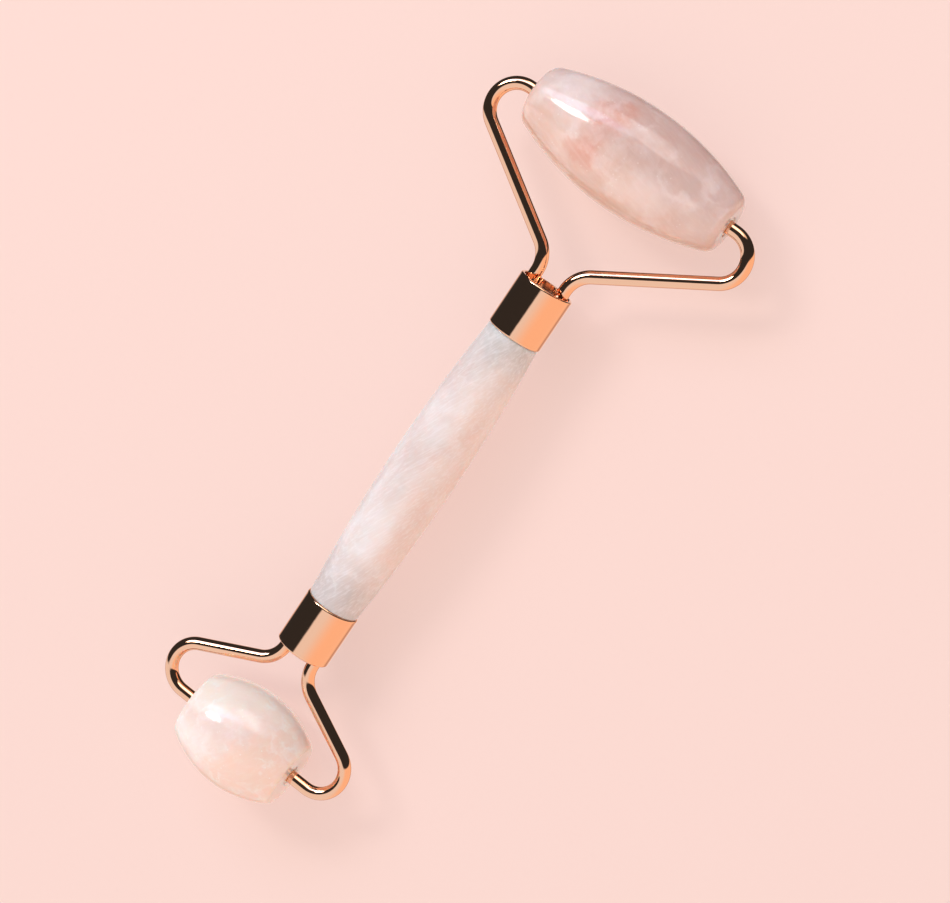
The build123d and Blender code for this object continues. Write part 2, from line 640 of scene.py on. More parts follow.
@dataclass(frozen=True)
class Clouds:
    """The stone's body colour, in soft clouds.

    Attributes:
        ramp: the colours, as values of the noise and hex colours.
        size: size of the largest clouds, in millimetres.
        stretch: how much longer the clouds are along the stone's grain than across it.
        grain: turn of the grain about Z, from the X axis, in degrees.
        shift: moves the clouds to another part of the stone, along X and Y, in millimetres.
    """

    ramp: tuple[tuple[float, str], ...]
    size: float
    stretch: float
    grain: float
    shift: tuple[float, float]

    def colour(self, tree: bpy.types.NodeTree, place: bpy.types.NodeSocket) -> bpy.types.NodeSocket:
        """Pick the colour by a noise, turned and drawn out along the grain.

        Args:
            tree: the material's node tree.
            place: the place in the stone.

        Returns:
            The colour.
        """
        moved = add_node(
            tree, "ShaderNodeMapping", {"Vector": place},
            {"Location": (self.shift[0] * MM, self.shift[1] * MM, 0.0),
             "Rotation": (0.0, 0.0, math.radians(self.grain)), "Scale": (self.stretch, 1.0, 1.0)},
            vector_type="TEXTURE")
        noise = add_node(
            tree, "ShaderNodeTexNoise", {"Vector": moved.outputs[0]},
            {"Scale": 1 / (self.size * MM), "Detail": 4.0, "Roughness": 0.5, "Distortion": 0.5})
        ramp = add_node(tree, "ShaderNodeValToRGB", {"Fac": noise.outputs["Fac"]})
        set_ramp(ramp, self.ramp)
        return ramp.outputs["Color"]


@dataclass(frozen=True)
class PolishedQuartz:
    """Massive quartz, ground round and tumbled to a polish.

    Massive quartz is cloudy all through: light goes in, scatters and comes out warmer, so the colour
    changes in soft clouds, with healed cracks as thin whiter veils. The polish adds a sharp white gloss,
    with the faint unevenness that a tumbled stone keeps.

    Attributes:
        name: the material's name.
        clouds: its body colour.
        inclusions: what changes that colour, in the order in which it is laid over it.
        depth: how far red, green and blue light travel inside, in millimetres.
        roughness: roughness of the polish.
        waver_size: size of the wavering of its growth, in millimetres.
        waver_swing: how far the wavering may move an edge, in millimetres.
        polish_wave: size of the polish's unevenness, in millimetres.
        polish_height: height of the polish's unevenness, in millimetres.
    """

    name: str
    clouds: Clouds
    inclusions: tuple[Inclusion, ...]
    depth: tuple[float, float, float]
    roughness: float
    waver_size: float = 6.0
    waver_swing: float = 9.0
    polish_wave: float = 1.6
    polish_height: float = 0.08

    def material(self, middle: np.ndarray) -> bpy.types.Material:
        """Build the material.

        Args:
            middle: the middle of the piece, in millimetres.

        Returns:
            The finished material.
        """
        made, tree, shader = new_material(self.name)
        whole = add_node(tree, "ShaderNodeTexCoord").outputs["Object"]
        place = add_node(
            tree, "ShaderNodeMapping", {"Vector": whole}, {"Location": tuple(middle * MM)},
            vector_type="TEXTURE").outputs[0]
        wavering = self.waver(tree, place)
        colour = self.clouds.colour(tree, place)
        # Inclusions of the stone and zones of painted light and shade are laid over the clouds in turn.
        for inclusion_and_light in self.inclusions:
            share = inclusion_and_light.share(tree, wavering if inclusion_and_light.wavers else place)
            colour = add_node(
                tree, "ShaderNodeMixRGB", {"Fac": share, "Color1": colour},
                {"Color2": linear(inclusion_and_light.colour)}).outputs["Color"]
        tree.links.new(colour, shader.inputs["Base Color"])
        uneven = add_node(
            tree, "ShaderNodeTexNoise", {"Vector": place},
            {"Scale": 1 / (self.polish_wave * MM), "Detail": 3.0, "Roughness": 0.6})
        bump = add_node(
            tree, "ShaderNodeBump", {"Height": uneven.outputs["Fac"]},
            {"Strength": 0.10, "Distance": self.polish_height * MM})
        tree.links.new(bump.outputs["Normal"], shader.inputs["Normal"])
        furthest = max(self.depth)
        set_inputs(shader, {
            "Roughness": self.roughness, "IOR": 1.54, "Subsurface Weight": 1.0,
            "Subsurface Radius": tuple(step / furthest for step in self.depth),
            "Subsurface Scale": furthest * MM, "Subsurface Anisotropy": 0.4})
        return made

    def waver(self, tree: bpy.types.NodeTree, place: bpy.types.NodeSocket) -> bpy.types.NodeSocket:
        """The place moved about: a noise colour less its middle value, times the swing, is added to it.

        Args:
            tree: the material's node tree.
            place: the place in the stone.

        Returns:
            The moved place.
        """
        noise = add_node(
            tree, "ShaderNodeTexNoise", {"Vector": place},
            {"Scale": 1 / (self.waver_size * MM), "Detail": 4.0, "Roughness": 0.6})
        swing = add_node(
            tree, "ShaderNodeVectorMath", {0: noise.outputs["Color"]}, {1: (0.5, 0.5, 0.5)},
            operation="SUBTRACT")
        small = add_node(
            tree, "ShaderNodeVectorMath", {0: swing.outputs[0]}, {"Scale": self.waver_swing * MM},
            operation="SCALE")
        return add_node(
            tree, "ShaderNodeVectorMath", {0: place, 1: small.outputs[0]}, operation="ADD").outputs[0]


@dataclass(frozen=True)
class PlatedRoseGold:
    """Rose gold electroplated on polished wire or tube: a warm mirror that is never quite even.

    The plating follows the drawn metal underneath, so mirrored edges waver slightly, and handling has
    rubbed it a little duller in places.

    Attributes:
        name: the material's name.
        colour: hex colour of the metal's reflection.
        roughness: roughness of the polish.
        rub: size of the rubbed places, in millimetres.
        rub_range: roughness of the least and the most rubbed places, as shares of the roughness.
        waver: size of the unevenness, in millimetres.
        height: height of the unevenness, in millimetres.
    """

    name: str = "rose_gold_plated_polished"
    colour: str = "F4BD98"
    roughness: float = 0.045
    rub: float = 0.6
    rub_range: tuple[float, float] = (0.7, 1.6)
    waver: float = 2.2
    height: float = 0.05

    def material(self) -> bpy.types.Material:
        """Build the material.

        Returns:
            The finished material.
        """
        made, tree, shader = new_material(self.name)
        set_inputs(shader, {"Metallic": 1.0, "Base Color": linear(self.colour)})
        place = add_node(tree, "ShaderNodeTexCoord").outputs["Object"]
        rubbed = add_node(
            tree, "ShaderNodeTexNoise", {"Vector": place}, {"Scale": 1 / (self.rub * MM), "Detail": 3.0})
        gloss = add_node(
            tree, "ShaderNodeMapRange", {"Value": rubbed.outputs["Fac"]},
            {"From Min": 0.3, "From Max": 0.75,
             "To Min": self.roughness * self.rub_range[0], "To Max": self.roughness * self.rub_range[1]})
        tree.links.new(gloss.outputs[0], shader.inputs["Roughness"])
        uneven = add_node(
            tree, "ShaderNodeTexNoise", {"Vector": place}, {"Scale": 1 / (self.waver * MM), "Detail": 1.0})
        bump = add_node(
            tree, "ShaderNodeBump", {"Height": uneven.outputs["Fac"]},
            {"Strength": 0.12, "Distance": self.height * MM})
        tree.links.new(bump.outputs["Normal"], shader.inputs["Normal"])
        return made


@dataclass(frozen=True)
class MouldedNylon:
    """Moulded natural nylon: off-white, waxy and slightly translucent, with faint flow marks.

    Attributes:
        name: the material's name.
        colours: hex colours of the darker and the lighter flow.
        flow: size of the flow marks, in millimetres.
    """

    name: str = "nylon_moulded_natural"
    colours: tuple[str, str] = ("E6DFD2", "F1EBE0")
    flow: float = 0.8

    def material(self) -> bpy.types.Material:
        """Build the material.

        Returns:
            The finished material.
        """
        made, tree, shader = new_material(self.name)
        place = add_node(tree, "ShaderNodeTexCoord").outputs["Object"]
        marks = add_node(
            tree, "ShaderNodeTexNoise", {"Vector": place}, {"Scale": 1 / (self.flow * MM), "Detail": 2.0})
        ramp = add_node(tree, "ShaderNodeValToRGB", {"Fac": marks.outputs["Fac"]})
        set_ramp(ramp, tuple(zip((0.3, 0.7), self.colours)))
        tree.links.new(ramp.outputs["Color"], shader.inputs["Base Color"])
        set_inputs(shader, {
            "Roughness": 0.42, "IOR": 1.53, "Subsurface Weight": 0.3, "Subsurface Scale": 0.6 * MM})
        return made


@dataclass(frozen=True)
class TurnedSteel:
    """Free-cutting steel as it leaves the lathe: grey, with fine rings across the pin.

    Attributes:
        name: the material's name.
        colour: hex colour of the metal's reflection.
        feed: distance between the lathe's rings, in millimetres, coarser than real ones so that they show.
        height: height of the rings, in millimetres.
    """

    name: str = "steel_turned"
    colour: str = "B4B3B0"
    feed: float = 0.6
    height: float = 0.02

    def material(self) -> bpy.types.Material:
        """Build the material.

        Returns:
            The finished material.
        """
        made, tree, shader = new_material(self.name)
        set_inputs(shader, {"Metallic": 1.0, "Base Color": linear(self.colour), "Roughness": 0.32})
        place = add_node(tree, "ShaderNodeTexCoord").outputs["Object"]
        rings = add_node(
            tree, "ShaderNodeTexWave", {"Vector": place}, {"Scale": 1 / (self.feed * MM), "Distortion": 0.4},
            bands_direction="X")
        bump = add_node(
            tree, "ShaderNodeBump", {"Height": rings.outputs["Fac"]},
            {"Strength": 0.2, "Distance": self.height * MM})
        tree.links.new(bump.outputs["Normal"], shader.inputs["Normal"])
        return made


LARGE_ROLLER_QUARTZ = PolishedQuartz(
    name="rose_quartz_tumbled_pink",
    clouds=Clouds(((0.32, "D5BAB1"), (0.50, "DCCBC5"), (0.68, "E8DCD8")), 11.0, 1.0, 70.0, (13.0, 4.81)),
    inclusions=(
        # Painted light and shade: the first zone is a painted warm glow from the table on the side towards
        # the handle, the second is painted shade on the outer side.
        Zone((-0.8, 0.1, 0.2), 3.0, 9.0, 0.55, "DCB59E"), Zone((0.9, -0.3, 0.1), 3.5, 9.0, 0.5, "CFADA0"),
        Patch((4.5, 6.0, 8.0), 5.5, 0.7, "D79A86"), Patch((-2.5, 5.5, 9.0), 4.6, 0.55, "D99C87"),
        Patch((-4.0, -7.0, 8.0), 7.0, 0.4, "EDE2DE"),
        Veils(size=9.0, width=0.11, strength=0.36, colour="F8F2F0"),
        Fibres(width=0.7, length=5.0, angle=70.0, strength=0.1, colour="F8F2F0"),
        Flecks(strength=0.35, colour="F8F2F0")),
    depth=(2.6, 1.7, 1.4), roughness=0.11)
HANDLE_QUARTZ = PolishedQuartz(
    name="milky_quartz_ground_polished",
    clouds=Clouds(((0.34, "E0D3CE"), (0.5, "E6DFDC"), (0.68, "ECEBEC")), 6.5, 2.6, -26.0, (31.0, 11.47)),
    inclusions=(
        # Painted shade: the first zone turns the -Y side pinker as the side away from the lamps; the other
        # two grey the stone towards each ferrule as painted shade from the ferrules, partly the darker stone
        # over the metal inside.
        Zone((0.0, -1.0, -0.1), 1.6, 7.0, 0.5, "EFD5C7"), Zone((1.0, 0.0, 0.0), 24.0, 11.0, 0.65, "C3C1BE"),
        Zone((-1.0, 0.0, 0.0), 22.0, 12.0, 0.65, "C3BCBA"),
        Veils(size=7.0, width=0.05, strength=0.22, colour="F7F6F7"),
        Fibres(width=0.32, length=13.0, angle=-26.0, strength=0.36, colour="F7F6F7"),
        Flecks(strength=0.2, colour="F7F6F7")),
    depth=(1.3, 0.9, 0.8), roughness=0.24)
SMALL_ROLLER_QUARTZ = PolishedQuartz(
    name="rose_quartz_tumbled_pale",
    clouds=Clouds(((0.32, "EAD7CE"), (0.5, "EEE1DB"), (0.7, "F4ECE9")), 7.0, 1.0, -35.0, (57.0, 21.09)),
    inclusions=(
        # Painted light and shade: the first zone turns the part towards -X and -Y peachier as painted shade
        # warmed by the table's glow, with a sharp edge that also draws a growth boundary; the second whitens
        # the part towards +X and +Y as painted light from the softbox.
        Zone((-0.48, -0.88, 0.0), 0.8, 3.0, 0.8, "F6D6C7"), Zone((0.9, 0.4, -0.2), 4.5, 6.0, 0.75, "FDE6DB"),
        Veils(size=5.0, width=0.10, strength=0.45, colour="FCF9F8"),
        Fibres(width=0.6, length=4.0, angle=-35.0, strength=0.12, colour="FCF9F8"),
        Flecks(strength=0.6, colour="FCF9F8")),
    depth=(2.6, 1.7, 1.4), roughness=0.13)
# Solder runs in round the wires and is plated with the rest: paler and less glossy than the tube.
SOLDERED_FACE = PlatedRoseGold(name="rose_gold_soldered_satin", colour="FBE6D6", roughness=0.16)


class Finishes:
    """The record's material slots and the finished material for each."""

    def __init__(self) -> None:
        """Build each finish once."""
        self.by_slot = {
            "handle_quartz": HANDLE_QUARTZ.material(middle_of("handle_stone")),
            "large_roller_quartz": LARGE_ROLLER_QUARTZ.material(middle_of("large_roller_stone")),
            "small_roller_quartz": SMALL_ROLLER_QUARTZ.material(middle_of("small_roller_stone")),
            "rose_gold": PlatedRoseGold().material(),
            "nylon": MouldedNylon().material(),
            "steel": TurnedSteel().material(),
        }
        self.soldered = SOLDERED_FACE.material()

    def dress(self, piece: bpy.types.Object, slot: str, body: str, node: str,
              finish: Optional[bpy.types.Material] = None) -> None:
        """Give a new piece its finish and its body, and hide the CAD node that it stands for.

        Args:
            piece: the new piece.
            slot: the record's material slot.
            body: the body that the piece rides on.
            node: the CAD node that it replaces.
            finish: a variant of the slot's finish, or None for the finish itself.
        """
        piece.data.materials.clear()
        piece.data.materials.append(finish or self.by_slot[slot])
        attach(piece, body)
        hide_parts(node)

    def dress_node(self, node: str, slot: str) -> None:
        """Give a CAD node that stays its finish.

        Args:
            node: the CAD node.
            slot: the record's material slot.
        """
        shown = frame["nodes"][node]
        shown.data.materials.clear()
        shown.data.materials.append(self.by_slot[slot])


# ---------------------------------------------------------------- sub-assemblies


@dataclass
class Handle:
    """The stone handle: a long barrel with a turned-down tenon in each ferrule.

    Attributes:
        node: the CAD node that it replaces.
        visible_half: from the middle to a ferrule's edge.
        end_radius: radius of the stone beside a ferrule.
        tenon_radius: radius inside the ferrules.
        shoulder_rounding: radius of the corners beside a ferrule and on the tenons.
        bore_radius: radius of the blind hole for the stud.
        bore_depth: depth of that hole.
    """

    node: str = "handle_stone"
    visible_half: float = 29.6
    end_radius: float = 4.95
    tenon_radius: float = 4.6
    shoulder_rounding: float = 0.2
    bore_radius: float = 1.4
    bore_depth: float = 14.0

    def outline(self) -> np.ndarray:
        """The bore, the tenon, the shoulder and half the long crown arc, mirrored about the middle.

        Returns:
            (along, out) points from one bore's bottom to the other's.
        """
        length, _, width = size_of(self.node)
        tip, middle_radius = length / 2, width / 2
        sag = middle_radius - self.end_radius
        crown_radius = (self.visible_half ** 2 + sag ** 2) / (2 * sag)
        crown = barrel(self.visible_half, middle_radius, crown_radius, self.shoulder_rounding, 120)
        inner = rounded((
            (self.visible_half, self.end_radius - 0.2, 0), (self.visible_half, self.tenon_radius, 0),
            (tip, self.tenon_radius, self.shoulder_rounding), (tip, self.bore_radius, BORE_CORNER),
            (tip - self.bore_depth, self.bore_radius, BORE_CORNER),
            (tip - self.bore_depth, POLE_RADIUS, 0)), 4)[1:]
        return np.vstack([inner[::-1] * (-1, 1), crown, inner])

    def build(self, finishes: Finishes) -> None:
        """Build and dress the handle.

        Args:
            finishes: the materials by slot.
        """
        piece = turned(self.outline(), "X", middle_of(self.node), 224).build("handle_stone_polished")
        finishes.dress(piece, "handle_quartz", HANDLE_BODY, self.node)


@dataclass
class Fork:
    """One end's metalwork: the ferrule, its plug, the anchor stud and the two bent wires.

    Attributes:
        end: which end of the tool.
        corner_x: from the handle's middle to the corner of a wire's inner bend.
        corner_y: from the handle's axis to the corner of a wire's outer bend.
        wire_radius: radius of the wires.
        spacing: from the handle's axis to a wire's root.
        inner_bend: radius of the inner bends.
        outer_bend: radius of the outer bends.
        tip_chamfer: chamfer on a wire's end.
        tip_inset: from a wire's end to the inner end of its bush.
        bore_radius: inner radius of the ferrule.
        edge_rounding: radius of the ferrule's outer edges.
        mouth_rounding: radius of its inner edges.
        solder_height: how far the solder climbs a wire.
        solder_reach: how fast the solder falls away from the wire.
    """

    end: End
    corner_x: float
    corner_y: float
    wire_radius: float = 1.25
    spacing: float = 3.1
    inner_bend: float = 5.5
    outer_bend: float = 4.8
    tip_chamfer: float = 0.2
    tip_inset: float = 0.6
    bore_radius: float = 4.6
    edge_rounding: float = 0.35
    mouth_rounding: float = 0.15
    solder_height: float = 0.45
    solder_reach: float = 0.28

    def ferrule(self, finishes: Finishes) -> None:
        """The sleeve, turned about the handle's axis.

        Args:
            finishes: the materials by slot.
        """
        node = f"{self.end.word}_end_ferrule"
        length, _, width = size_of(node)
        outline = sleeve(
            length, (width / 2, self.bore_radius), (self.edge_rounding, self.mouth_rounding), 10)
        piece = turned(outline, "X", middle_of(node), 192, looped=True).build(f"{node}_plated")
        finishes.dress(piece, "rose_gold", HANDLE_BODY, node)

    def plug(self, finishes: Finishes) -> None:
        """The disc that the wires come out of, with the solder drawn up round each of them.

        The face is a disc of rings. It stands proud by the solder's height times e to the power of minus
        the distance from the nearer wire over the solder's reach. The back is flat.

        Args:
            finishes: the materials by slot.
        """
        node = f"{self.end.word}_end_plug"
        length, _, width = size_of(node)
        side = self.end.value
        angle = np.linspace(0, 2 * math.pi, 160, endpoint=False)
        out = np.linspace(0.02, width / 2, 90)[:, None]
        across, height = out * np.cos(angle), out * np.sin(angle)
        from_wire = np.hypot(np.abs(across) - self.spacing, height) - self.wire_radius
        climb = self.solder_height * np.exp(-np.maximum(from_wire, 0) / self.solder_reach)
        face = np.stack([side * (length / 2 + climb), across, height], axis=-1)
        rim = [-1, 0]
        flat = np.full_like(across[rim], -side * length / 2)
        back = np.stack([flat, across[rim], height[rim]], axis=-1)
        rings = Rings(np.vstack([face, back]) + middle_of(node))
        finishes.dress(rings.build(f"{node}_soldered"), "rose_gold", HANDLE_BODY, node, finishes.soldered)

    def wire_path(self, hand: Hand) -> np.ndarray:
        """The middle line of one wire: straight runs joined by arcs tangent to them.

        Args:
            hand: which side of the tool.

        Returns:
            Points from the root in the plug to the end in the roller.
        """
        side, left = self.end.value, hand.value
        middle, axis = middle_of("handle_stone"), roller_axis(self.end)
        low, high = (np.array(corner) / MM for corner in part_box(f"{self.end.word}_arm_{hand.word}"))
        bush = middle_of(f"{self.end.word}_bush_{hand.word}"), size_of(f"{self.end.word}_bush_{hand.word}")
        root_x = low[0] if side > 0 else high[0]
        tip_y = bush[0][1] - left * (bush[1][1] / 2 - self.tip_inset)
        flat = rounded((
            (root_x, left * self.spacing, 0),
            (middle[0] + side * self.corner_x, left * self.spacing, self.inner_bend),
            (axis[0], left * self.corner_y, self.outer_bend), (axis[0], tip_y, 0)), 28, 0.2)
        return np.column_stack([flat, np.full(len(flat), axis[2])])

    def wire(self, hand: Hand, finishes: Finishes) -> None:
        """One bent wire: a round tube along its path, chamfered at the end.

        Args:
            hand: which side of the tool.
            finishes: the materials by slot.
        """
        node = f"{self.end.word}_arm_{hand.word}"
        path = self.wire_path(hand)
        inward = (path[-1] - path[-2]) / np.linalg.norm(path[-1] - path[-2])
        tip = path[-1] - inward * np.array([self.tip_chamfer + 0.05, self.tip_chamfer, 0, 0])[:, None]
        path = np.vstack([path[:-1], tip[:3]])
        radii = np.full(len(path), self.wire_radius)
        radii[-1] -= self.tip_chamfer
        piece = tube(path, radii, 44).build(f"{node}_bent")
        finishes.dress(piece, "rose_gold", HANDLE_BODY, node)

    def build(self, finishes: Finishes) -> None:
        """Build and dress the whole fork.

        Args:
            finishes: the materials by slot.
        """
        self.ferrule(finishes)
        self.plug(finishes)
        for hand in Hand:
            self.wire(hand, finishes)
        finishes.dress_node(f"{self.end.word}_end_stud", "steel")
        LOG.info("%s fork built", self.end.word)


@dataclass
class Roller:
    """One roller: the barrel-shaped stone and the two bushes pressed into its ends.

    Attributes:
        end: which end of the tool.
        crown_radius: radius of the long arc of its outline.
        corner_rounding: radius of the corners at its flat ends.
        bore_radius: radius of the bores for the bushes.
        bore_depth: depth of each bore.
        mouth_chamfer: chamfer at the mouth of each bore.
        mouth_rounding: radius of the chamfer's edges.
        bush_bore_radius: inner radius of a bush.
        bush_rounding: radius of a bush's edges.
    """

    end: End
    crown_radius: float
    corner_rounding: float
    bore_depth: float
    bore_radius: float = 1.9
    mouth_chamfer: float = 0.15
    mouth_rounding: float = 0.04
    bush_bore_radius: float = 1.31
    bush_rounding: float = 0.12

    def outline(self) -> np.ndarray:
        """The crown and corners, the flat end, the chamfered mouth and the bore, mirrored about the middle.

        Returns:
            (along, out) points from one bore's bottom to the other's.
        """
        _, length, width = size_of(f"{self.end.word}_roller_stone")
        half, mouth = length / 2, self.bore_radius + self.mouth_chamfer
        crown = barrel(half, width / 2, self.crown_radius, self.corner_rounding, 110)
        inner = rounded((
            (half, mouth + 0.4, 0), (half, mouth, self.mouth_rounding),
            (half - self.mouth_chamfer, self.bore_radius, self.mouth_rounding),
            (half - self.bore_depth, self.bore_radius, BORE_CORNER),
            (half - self.bore_depth, POLE_RADIUS, 0)), 4)
        return np.vstack([inner[::-1] * (-1, 1), crown, inner])

    def bush(self, hand: Hand, finishes: Finishes) -> None:
        """One bush: a sleeve turned about the roller's axis.

        Args:
            hand: which side of the tool.
            finishes: the materials by slot.
        """
        node = f"{self.end.word}_bush_{hand.word}"
        _, length, width = size_of(node)
        outline = sleeve(
            length, (width / 2, self.bush_bore_radius), (self.bush_rounding, self.bush_rounding), 5)
        piece = turned(outline, "Y", middle_of(node), 96, looped=True).build(f"{node}_moulded")
        finishes.dress(piece, "nylon", f"{self.end.word}_roller", node)

    def build(self, finishes: Finishes) -> None:
        """Build and dress the roller.

        Args:
            finishes: the materials by slot.
        """
        node, body = f"{self.end.word}_roller_stone", f"{self.end.word}_roller"
        piece = turned(self.outline(), "Y", middle_of(node), 256).build(f"{node}_polished")
        finishes.dress(piece, f"{self.end.word}_roller_quartz", body, node)
        for hand in Hand:
            self.bush(hand, finishes)
        LOG.info("%s roller built", self.end.word)


# ---------------------------------------------------------------- studio


@dataclass(frozen=True)
class Camera:
    """The camera: where it stands, what it looks at and how it is held.

    Attributes:
        position: its place in the frame, in millimetres.
        target: the point at the middle of the view, in millimetres.
        lean: how far the handle leans to the right of upright in the view, in degrees.
        lens: focal length for a 36 mm wide sensor, in millimetres.
    """

    position: tuple[float, float, float] = (108.69, -101.2, 446.32)
    target: tuple[float, float, float] = (5.69, -5.82, 9.8)
    lean: float = 34.04
    lens: float = 98.56

    def axes(self) -> tuple[Vector, Vector, Vector]:
        """The camera's right, up and backward directions in the frame.

        Returns:
            Three unit vectors at right angles to each other.
        """
        back = (Vector(self.position) - Vector(self.target)).normalized()
        heading = Vector((1.0, 0.0, 0.0))
        heading = (heading - heading.dot(back) * back).normalized()
        beside = heading.cross(back)
        lean = math.radians(self.lean)
        right = math.sin(lean) * heading + math.cos(lean) * beside
        up = math.cos(lean) * heading - math.sin(lean) * beside
        return right, up, back

    def towards(self, up_angle: float, left_angle: float) -> Vector:
        """A direction in the frame, seen from the object.

        Args:
            up_angle: degrees above the lens's axis.
            left_angle: degrees to the left of it.

        Returns:
            A unit vector; both angles at 0 point at the camera.
        """
        right, up, back = self.axes()
        rise, turn = math.radians(up_angle), math.radians(left_angle)
        return math.sin(rise) * up + math.cos(rise) * (math.cos(turn) * back - math.sin(turn) * right)

    def build(self) -> None:
        """Make the camera and give it to the scene."""
        data = bpy.data.cameras.new("camera")
        data.lens, data.sensor_width = self.lens, 36.0
        data.clip_start, data.clip_end = 0.01, 50.0
        made = bpy.data.objects.new("camera", data)
        turn = Matrix(self.axes()).transposed().to_4x4()
        made.matrix_world = Matrix.Translation(Vector(self.position) * MM) @ turn
        bpy.context.scene.collection.objects.link(made)
        bpy.context.scene.camera = made


@dataclass(frozen=True)
class Softbox:
    """A lamp with a soft-edged white face, turned to the object.

    The lamp lights the object, and the room's reflections show its face, which fades at its edges.

    Attributes:
        name: the lamp's name.
        up_angle: degrees above the lens's axis, seen from the object.
        left_angle: degrees to the left of it.
        wide: its width, in degrees, seen from the object.
        tall: its height, in degrees.
        light: brightness as a lamp.
        shine: brightness of its face in reflections.
        colour: hex colour of its light.
        edge: share of its half-size over which its face fades.
        distance: from the object, in metres.
    """

    name: str
    up_angle: float
    left_angle: float
    wide: float
    tall: float
    light: float
    shine: float
    colour: str
    edge: float = 0.5
    distance: float = 1.3

    def build(self, camera: Camera) -> None:
        """Make the lamp.

        Args:
            camera: the camera that its angles are measured from.
        """
        if self.light <= 0:
            return
        across, along, aim = self.axes(camera)
        data = bpy.data.lights.new(self.name, "AREA")
        data.shape = "RECTANGLE"
        data.size = 2 * self.distance * math.tan(math.radians(self.wide / 2))
        data.size_y = 2 * self.distance * math.tan(math.radians(self.tall / 2))
        data.energy = self.light * math.pi * data.size * data.size_y
        data.color = linear(self.colour)[:3]
        made = bpy.data.objects.new(self.name, data)
        turn = Matrix((across, along, aim)).transposed().to_4x4()
        made.matrix_world = Matrix.Translation(Vector(camera.target) * MM + aim * self.distance) @ turn
        made.visible_camera = False
        made.visible_glossy = False
        bpy.context.scene.collection.objects.link(made)

    def axes(self, camera: Camera) -> tuple[Vector, Vector, Vector]:
        """The directions across and up its face, and from the object to it.

        Args:
            camera: the camera that its angles are measured from.

        Returns:
            Three unit vectors at right angles to each other.
        """
        aim = camera.towards(self.up_angle, self.left_angle)
        across = camera.axes()[1].cross(aim).normalized()
        return across, aim.cross(across), aim

    def face(self, tree: bpy.types.NodeTree, way: bpy.types.NodeSocket, camera: Camera,
             colour: bpy.types.NodeSocket) -> bpy.types.NodeSocket:
        """Paint the lamp's face over the room.

        The face is an ellipse: the length of (across over half the width, up over half the height) is
        1 at its edge. The third part keeps it off the opposite side of the room.

        Args:
            tree: the world's node tree.
            way: the direction looked in.
            camera: the camera that its angles are measured from.
            colour: the room's colour so far.

        Returns:
            The room's colour with the face on it.
        """
        across, along, aim = self.axes(camera)
        parts = []
        for direction, size in ((across, math.sin(math.radians(self.wide / 2))),
                                (along, math.sin(math.radians(self.tall / 2))), (aim, 0.5)):
            parts.append(add_node(
                tree, "ShaderNodeVectorMath", {0: way}, {1: direction / size}, operation="DOT_PRODUCT"))
        behind = add_node(
            tree, "ShaderNodeMath", {0: parts[2].outputs["Value"]}, {1: 2.0}, operation="SUBTRACT")
        offset = add_node(
            tree, "ShaderNodeCombineXYZ",
            {0: parts[0].outputs["Value"], 1: parts[1].outputs["Value"], 2: behind.outputs[0]})
        reach = add_node(tree, "ShaderNodeVectorMath", {0: offset.outputs[0]}, operation="LENGTH")
        seen = add_node(
            tree, "ShaderNodeMapRange", {"Value": reach.outputs["Value"]},
            {"From Min": 1 + self.edge / 2, "From Max": 1 - self.edge / 2}, interpolation_type="SMOOTHSTEP")
        painted = add_node(
            tree, "ShaderNodeMixRGB", {"Fac": seen.outputs[0], "Color1": colour},
            {"Color2": lit(self.colour, self.shine)})
        return painted.outputs["Color"]


